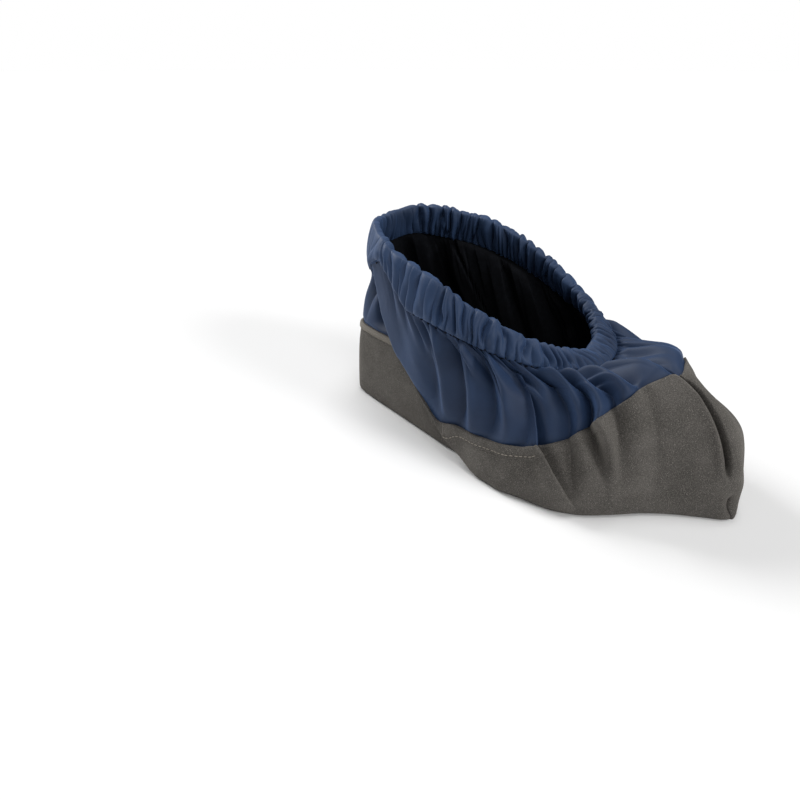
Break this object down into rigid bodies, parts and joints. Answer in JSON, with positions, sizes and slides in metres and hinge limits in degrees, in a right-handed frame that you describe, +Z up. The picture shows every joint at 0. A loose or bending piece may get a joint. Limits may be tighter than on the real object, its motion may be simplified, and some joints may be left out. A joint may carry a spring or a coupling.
{
  "type": "overshoe",
  "caption": "Low reusable overshoe with a blue cloth upper gathered at an elastic casing and a grey felt-like sole piece that wraps up round the heel and high over the toe.",
  "frame": {"origin": "on the floor, under the middle of the overshoe's bounding box", "axes": "+X towards the toe, +Z up; -Y is the side with the deeper tuck"},
  "size_m": [0.3012, 0.1476, 0.1466],
  "materials": {
    "felt_grey": "matte felt-like grey-brown with fine light specks",
    "hem_grey": "matte turned hem with a stitch line",
    "cloth_blue": "smooth fine weave, soft sheen, near-black inside",
    "casing_blue": "same cloth, gathered tightly"
  },
  "bodies": {
    "root": {"sole_shell": "felt_grey", "heel_band": "hem_grey", "side_band_left": "hem_grey", "side_band_right": "hem_grey", "upper": "cloth_blue", "elastic_casing": "casing_blue"}
  },
  "joints": []
}
